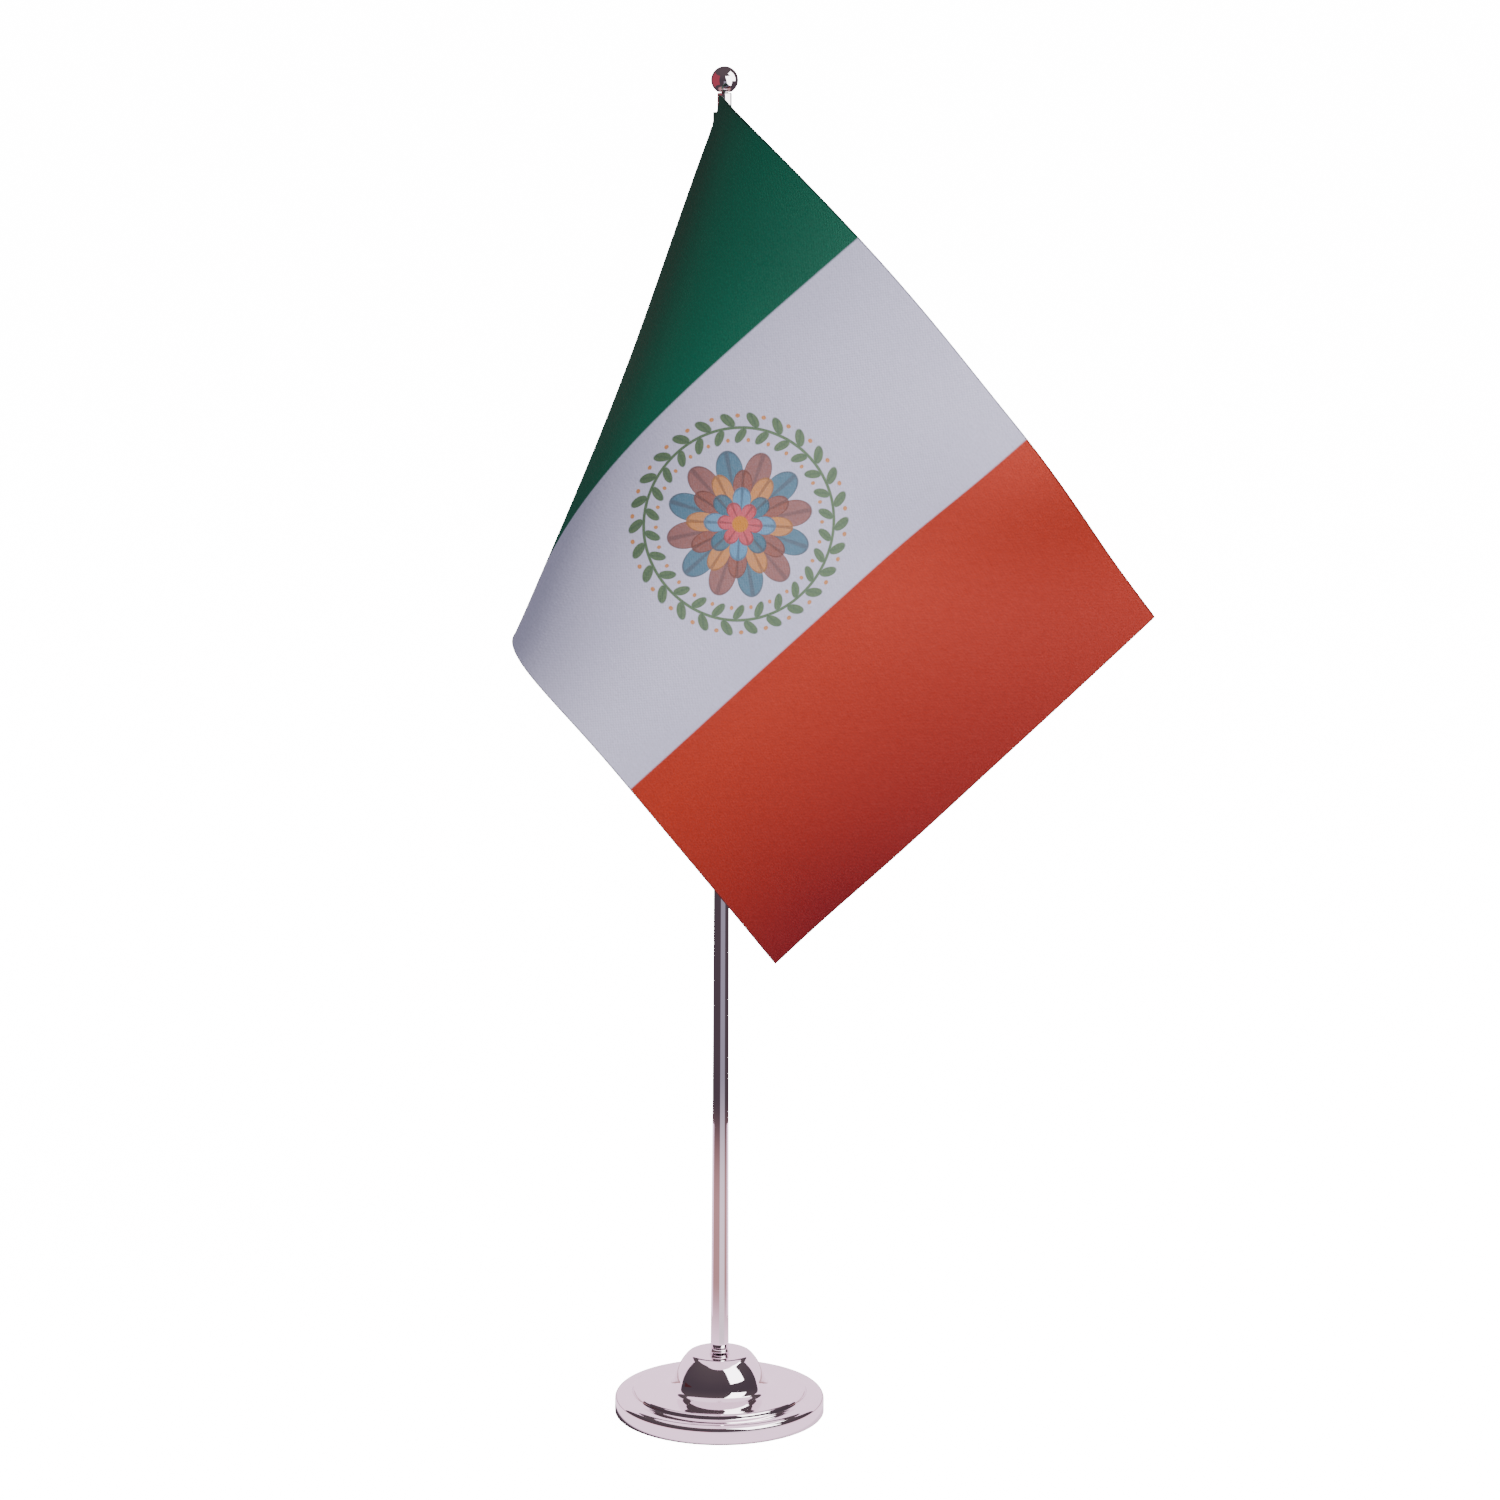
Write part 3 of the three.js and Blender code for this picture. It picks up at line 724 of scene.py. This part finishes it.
FLY_CELLS, HOIST_CELLS = 168, 112
coarse_grid = settled_cloth(coarse_cloth(COARSE_COLUMNS, COARSE_ROWS))
cloth_grid = refine(coarse_grid, FLY_CELLS + 1, HOIST_CELLS + 1)


def sheet_normals(grid):
    along = np.gradient(grid, axis=1)
    across = np.gradient(grid, axis=0)
    normal = np.cross(along, across)
    return normal / np.linalg.norm(normal, axis=2, keepdims=True)


cloth_normals = sheet_normals(cloth_grid)


def flat_place(columns, rows):
    u, v = np.meshgrid(np.linspace(0, FLAG_FLY, columns), np.linspace(0, FLAG_HOIST, rows))
    return np.stack([u, v, np.zeros_like(u)], axis=2)


def store_flat(piece, values):
    attribute = piece.data.attributes.new("cloth", "FLOAT_VECTOR", "POINT")
    attribute.data.foreach_set("vector", np.asarray(values, dtype=np.float32).ravel())


def grid_faces(columns, rows):
    return [(j * columns + i, (j + 1) * columns + i, (j + 1) * columns + i + 1, j * columns + i + 1)
            for j in range(rows - 1) for i in range(columns - 1)]


def thick_sheet(name, grid, flat, thickness, material):
    """A closed thin sheet: a front, a back and the narrow border between them."""
    rows, columns = grid.shape[:2]
    normal = sheet_normals(grid)
    front = (grid + normal * thickness / 2).reshape(-1, 3)
    back = (grid - normal * thickness / 2).reshape(-1, 3)
    faces = grid_faces(columns, rows)
    total = rows * columns
    faces += [tuple(total + k for k in reversed(face)) for face in grid_faces(columns, rows)]
    border = (list(range(columns))
              + [j * columns + columns - 1 for j in range(1, rows)]
              + [(rows - 1) * columns + i for i in range(columns - 2, -1, -1)]
              + [j * columns for j in range(rows - 2, 0, -1)])
    for k, corner in enumerate(border):
        after = border[(k + 1) % len(border)]
        faces.append((corner, after, total + after, total + corner))
    piece = make_piece(name, np.vstack([front, back]), faces, material, sharp_angle=60)
    store_flat(piece, np.vstack([flat.reshape(-1, 3)] * 2))
    return piece


flat_grid = flat_place(FLY_CELLS + 1, HOIST_CELLS + 1)
flag = thick_sheet("satin_flag", cloth_grid, flat_grid, FLAG_SHEET, SATIN)
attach(flag, "flag")
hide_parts("flag_cloth")


def swept(path, radius, sides, flat=None):
    """Points, faces and flat places of a round bead along an open path, closed at both ends."""
    path = np.asarray(path, dtype=float)
    forward = np.gradient(path, axis=0)
    forward /= np.linalg.norm(forward, axis=1, keepdims=True)
    side = np.cross(forward[0], (0.0, 0.0, 1.0))
    if np.linalg.norm(side) < 0.1:
        side = np.cross(forward[0], (1.0, 0.0, 0.0))
    points, values = [], []
    for k, (centre, way) in enumerate(zip(path, forward)):
        side = side - way * np.dot(side, way)
        side /= np.linalg.norm(side)
        other = np.cross(way, side)
        for n in range(sides):
            angle = math.tau * n / sides
            points.append(centre + radius * (math.cos(angle) * side + math.sin(angle) * other))
            if flat is not None:
                values.append(flat[k])
    faces = []
    for k in range(len(path) - 1):
        for n in range(sides):
            m = (n + 1) % sides
            faces.append((k * sides + n, k * sides + m, (k + 1) * sides + m, (k + 1) * sides + n))
    faces.append(tuple(reversed(range(sides))))
    faces.append(tuple(range((len(path) - 1) * sides, len(path) * sides)))
    return points, faces, values


# The heat-cut edge leaves a fine, slightly darker bead along the three free sides.
edge_path = np.vstack([cloth_grid[0, 2:], cloth_grid[1:, -1], cloth_grid[-1, -2:1:-1]])
edge_flat = np.vstack([flat_grid[0, 2:], flat_grid[1:, -1], flat_grid[-1, -2:1:-1]])
edge_flat[:, 2] = 1.0
EDGE_BEAD_RADIUS = 0.24
bead_points, bead_faces, bead_flat = swept(edge_path, EDGE_BEAD_RADIUS, 8, edge_flat)
bead = make_piece("heat_cut_edge", bead_points, bead_faces, SATIN)
store_flat(bead, bead_flat)
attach(bead, "flag")

# ---- Sleeve and its sewing -----------------------------------------------------------------------
# The hoist is folded round the rod and sewn down on the back of the flag.
SEAM_REACH, SLEEVE_RADIUS, SLEEVE_TURN_STEPS, TAIL_STEPS = 8.0, 2.86, 64, 12
SLEEVE_SHEET, SLEEVE_ROWS, STITCH_INSET = 0.28, 91, 1.4
SLEEVE_TURN = 2 * math.pi * SLEEVE_RADIUS


def cloth_at(u, v):
    """Point and normal of the sheet at a flat place, blended from the four grid corners round it."""
    column = min(max(u / FLAG_FLY * FLY_CELLS, 0), FLY_CELLS - 1e-6)
    row = min(max(v / FLAG_HOIST * HOIST_CELLS, 0), HOIST_CELLS - 1e-6)
    i, j = int(column), int(row)
    s, t = column - i, row - j

    def blend(values):
        return ((values[j, i] * (1 - s) + values[j, i + 1] * s) * (1 - t)
                + (values[j + 1, i] * (1 - s) + values[j + 1, i + 1] * s) * t)
    normal = blend(cloth_normals)
    return blend(cloth_grid), normal / np.linalg.norm(normal)


sleeve_grid, sleeve_flat = [], []
start_angle = math.atan2(HOIST_Y, HOIST_X)
for row in range(SLEEVE_ROWS):
    drop = FLAG_TOP_Z - SLEEVE_TOP_Z + row / (SLEEVE_ROWS - 1) * (SLEEVE_TOP_Z - SLEEVE_BOTTOM_Z)
    end = min(row, SLEEVE_ROWS - 1 - row)
    hem = 0.1 if 3 <= end <= 5 else 0.0
    line = []
    for step in range(SLEEVE_TURN_STEPS):
        share = step / SLEEVE_TURN_STEPS
        angle = start_angle + 0.12 + share * (math.tau - 0.5)
        wrinkle = 0.07 * math.sin(drop * 0.55 + 2.2 * math.sin(angle * 2)) * math.sin(math.pi * share)
        wrinkle += 0.05 * math.sin(drop * 1.7 + angle * 3) * math.sin(math.pi * share)
        reach = SLEEVE_RADIUS + wrinkle + hem + 0.25 * share ** 6
        line.append((reach * math.cos(angle), reach * math.sin(angle), FLAG_TOP_Z - drop))
    for step in range(TAIL_STEPS + 1):
        u = 0.4 + (SEAM_REACH - 0.4) * step / TAIL_STEPS
        point, normal = cloth_at(u, drop)
        line.append(tuple(point + normal * 0.36))
    sleeve_grid.append(line)
    around = [SLEEVE_TURN * k / SLEEVE_TURN_STEPS for k in range(SLEEVE_TURN_STEPS)]
    around += [SLEEVE_TURN + SEAM_REACH * k / TAIL_STEPS for k in range(TAIL_STEPS + 1)]
    sleeve_flat.append([(a, drop, 0.0) for a in around])
sleeve = thick_sheet("sewn_sleeve", np.array(sleeve_grid), np.array(sleeve_flat), SLEEVE_SHEET,
                     SATIN_GREEN)
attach(sleeve, "flag")
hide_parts("hoist_sleeve")

STITCH_LENGTH, STITCH_GAP, THREAD_RADIUS = 2.1, 0.45, 0.17
stitch_points, stitch_faces = [], []
drop = FLAG_TOP_Z - SLEEVE_TOP_Z + 0.6
while drop + STITCH_LENGTH < FLAG_TOP_Z - SLEEVE_BOTTOM_Z - 0.4:
    for side, lift in ((1.0, 0.52), (-1.0, 0.16)):
        path = []
        for step in range(9):
            share = step / 8
            point, normal = cloth_at(SEAM_REACH - STITCH_INSET, drop + share * STITCH_LENGTH)
            rise = lift + 0.14 * math.sin(math.pi * share) - 0.1
            path.append(point + normal * side * rise)
        points, faces, _ = swept(path, THREAD_RADIUS, 6)
        first = len(stitch_points)
        stitch_points += points
        stitch_faces += [tuple(first + k for k in face) for face in faces]
    drop += STITCH_LENGTH + STITCH_GAP
stitches = make_piece("seam_stitches", stitch_points, stitch_faces, THREAD)
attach(stitches, "flag")


# ---- Studio --------------------------------------------------------------------------------------
def glow(name, colour, strength):
    finish = Finish(name, "ShaderNodeEmission")
    finish.set(Color=colour, Strength=strength)
    return finish.material


def seen_only_by(piece, **rays):
    for ray in ("camera", "diffuse", "glossy", "transmission", "volume_scatter", "shadow"):
        setattr(piece, f"visible_{ray}", rays.get(ray, False))


def disc(name, inner, outer, height, start, end, material, steps=96):
    """A flat ring sector at a height. Angles are degrees to the right of the way to the camera."""
    points, faces = [], []
    for k in range(steps + 1):
        angle = math.radians(-90 + start + (end - start) * k / steps)
        for radius in (inner, outer):
            points.append((radius * math.cos(angle), radius * math.sin(angle), height))
    for k in range(steps):
        faces.append((2 * k, 2 * k + 1, 2 * k + 3, 2 * k + 2))
    return make_piece(name, points, faces, material, smooth=False)


FLOOR_HALF, BACKDROP_RADIUS, BACKGROUND_GLOW = 14000.0, 13500.0, 15.5
floor_finish = Finish("pale_floor")
floor_grain = floor_finish.noise(floor_finish.place(), 60.0, 3.0)
floor_finish.set(
    Base_Color=floor_finish.mix(floor_grain, linear(244, 244, 246), linear(250, 250, 252)),
    Roughness=0.95,
    Specular_IOR_Level=0.05,
    Emission_Color=(1.0, 1.0, 1.0, 1.0),
    Emission_Strength=BACKGROUND_GLOW,
)
corners = [(-1, -1), (1, -1), (1, 1), (-1, 1)]
floor = make_piece("floor", [(x * FLOOR_HALF, y * FLOOR_HALF, -0.05) for x, y in corners], [(0, 1, 2, 3)],
                   floor_finish.material, smooth=False)
seen_only_by(floor, camera=True)


def scaled(colour, factor):
    return tuple(part * factor for part in colour[:3]) + (1.0,)


NEAR_TABLE = scaled(linear(255, 220, 246), 2.1)
ROSY_TABLE = scaled(linear(222, 168, 168), 0.95)
DARK_FLOOR = scaled(linear(98, 84, 94), 0.75)
BRIGHT_FLOOR = scaled(linear(240, 224, 236), 1.55)
GREY_FLOOR = scaled(linear(188, 182, 204), 0.8)
ROOM_RADIUS = 2600.0


def table_finish():
    """The table as the metal shows it: pale near the stand, then rosy, then the dark room's floor.

    To the right of the camera's side it is brighter, and a painted contact shadow, a dark ring, meets the
    base's edge.
    """
    finish = Finish("table_glow", "ShaderNodeEmission")
    x, y, _ = finish.separate(finish.place())
    radius = finish.distance(x, y)
    azimuth = finish.math("ARCTAN2", x, finish.math("MULTIPLY", y, -1.0))
    near = finish.mix(finish.remap(radius, 0.045, 0.13, smooth=True), NEAR_TABLE, ROSY_TABLE)
    colour = finish.mix(finish.remap(radius, 0.2, 0.34, smooth=True), near, DARK_FLOOR)
    right = finish.math("MULTIPLY", finish.remap(azimuth, math.radians(-9), math.radians(-3)),
                        finish.remap(azimuth, math.radians(58), math.radians(66), 1.0, 0.0))
    right = finish.math("MULTIPLY", right, finish.remap(radius, 0.045, 0.075))
    bright = finish.mix(finish.remap(radius, 0.2, 0.38, smooth=True), BRIGHT_FLOOR, GREY_FLOOR)
    colour = finish.mix(right, colour, bright)
    # Painted shadow: a dark ring just outside the base stands in for its contact shadow on the table.
    painted_contact_shadow = finish.math("MULTIPLY", finish.remap(radius, 0.0325, 0.0336, 1.0, 0.0),
                          finish.remap(azimuth, math.radians(0), math.radians(55), 1.0, 0.25))
    colour = finish.mix(painted_contact_shadow, colour, DARK_FLOOR)
    finish.set(Color=colour, Strength=1.0)
    return finish.material


table = disc("table_light", 0.5, ROOM_RADIUS, -0.04, 0, 360, table_finish())
seen_only_by(table, glossy=True)
bounce = disc("table_bounce", 0.5, 400.0, -0.06, 0, 360, glow("bounce_glow", linear(240, 234, 238), 0.6))
seen_only_by(bounce, diffuse=True)


def card(name, radius, start, end, low, high, material, lean_start=0.0, lean_end=0.0, columns=24, rows=12):
    """An upright curved card round the stand. Angles are degrees to the right of the way to the camera.

    The leans move its two upper corners.
    """
    points, faces = [], []
    for j in range(rows + 1):
        share = j / rows
        first, last = start + lean_start * share, end + lean_end * share
        for i in range(columns + 1):
            angle = math.radians(-90 + first + (last - first) * i / columns)
            points.append((radius * math.cos(angle), radius * math.sin(angle), low + (high - low) * share))
    for j in range(rows):
        for i in range(columns):
            corner = j * (columns + 1) + i
            faces.append((corner, corner + columns + 1, corner + columns + 2, corner + 1))
    seen_only_by(make_piece(name, points, faces, material), glossy=True)


BOX_GLOW = glow("soft_box_glow", (1.0, 1.0, 1.0, 1.0), 7.4)
card("soft_box", 320, 30, 70, 112, 590, BOX_GLOW, lean_start=-22, lean_end=-8)
card("soft_box_wing", 320, 66, 104, 350, 860, BOX_GLOW, lean_start=-20, lean_end=6)
card("red_drape_high", 105, -126, -44, 306, 450, glow("drape_glow", linear(200, 84, 104), 0.8))
card("red_drape_low", 800, -97, -50, 0, 60, glow("drape_low_glow", linear(112, 62, 68), 0.55))
card("pale_wall", 72, 101, 259, 6, 66, glow("wall_glow", linear(255, 220, 246), 2.1))


def one_sided(name, colour, strength):
    """A glow that shows from below only."""
    finish = Finish(name, "ShaderNodeMixShader")
    back = finish.nodes.new("ShaderNodeNewGeometry").outputs["Backfacing"]
    emission = finish.nodes.new("ShaderNodeEmission")
    finish.put(emission.inputs["Color"], colour)
    finish.put(emission.inputs["Strength"], strength)
    clear = finish.nodes.new("ShaderNodeBsdfTransparent")
    finish.put(finish.shader.inputs[0], back)
    finish.put(finish.shader.inputs[1], clear.outputs[0])
    finish.put(finish.shader.inputs[2], emission.outputs[0])
    return finish.material


overhead_glow = one_sided("overhead_glow", linear(255, 222, 246), 2.05)
overhead = disc("overhead_card", 4.0, 88.0, 120.0, 0, 360, overhead_glow)
seen_only_by(overhead, glossy=True)


def room_finish():
    """The dark room seen in the metal, a little lighter overhead."""
    finish = Finish("room_glow", "ShaderNodeEmission")
    _, _, height = finish.separate(finish.place())
    share = finish.remap(height, 0.0, ROOM_RADIUS * MM, smooth=True)
    finish.set(Color=finish.mix(share, linear(92, 80, 90), linear(112, 98, 104)), Strength=0.8)
    return finish.material


def dome(name, radius, material, rows=32, sides=64):
    points, faces = [(0.0, 0.0, radius)], []
    for i in range(1, rows + 1):
        polar = i / rows * math.radians(97)
        reach, height = radius * math.sin(polar), radius * math.cos(polar)
        for k in range(sides):
            angle = math.tau * k / sides
            points.append((reach * math.cos(angle), reach * math.sin(angle), height))
    for k in range(sides):
        faces.append((0, 1 + k, 1 + (k + 1) % sides))
    for i in range(rows - 1):
        for k in range(sides):
            n = (k + 1) % sides
            a, b = 1 + i * sides, 1 + (i + 1) * sides
            faces.append((a + k, b + k, b + n, a + n))
    return make_piece(name, points, faces, material)


room = dome("room_dome", ROOM_RADIUS, room_finish())
seen_only_by(room, glossy=True)
backdrop = dome("backdrop", BACKDROP_RADIUS, glow("backdrop_glow", (1.0, 1.0, 1.0, 1.0), BACKGROUND_GLOW))
seen_only_by(backdrop, camera=True)

world = bpy.data.worlds.new("soft_studio")
bpy.context.scene.world = world
world.use_nodes = True
world_light = world.node_tree.nodes["Background"].inputs
world_light["Color"].default_value = linear(246, 246, 255)
world_light["Strength"].default_value = 0.25


LIGHT_TARGET = Vector((0.03, -0.04, 0.24))


def soft_light(name, azimuth, elevation, distance, size, power, colour):
    """A square area light that faces the middle of the flag."""
    data = bpy.data.lights.new(name, "AREA")
    data.shape, data.size, data.energy, data.color = "SQUARE", size, power, colour
    light = bpy.data.objects.new(name, data)
    bpy.context.collection.objects.link(light)
    a, e = math.radians(azimuth), math.radians(elevation)
    away = Vector((math.sin(a) * math.cos(e), -math.cos(a) * math.cos(e), math.sin(e)))
    light.location = LIGHT_TARGET + away * distance
    light.rotation_mode = "QUATERNION"
    light.rotation_quaternion = away.to_track_quat("Z", "Y")
    light.visible_glossy = False


soft_light("key_light", 44, 26, 1.9, 0.8, 58.0, (1.0, 0.985, 0.97))
soft_light("fill_light", -116, 24, 2.0, 1.2, 16.0, (0.93, 0.95, 1.0))
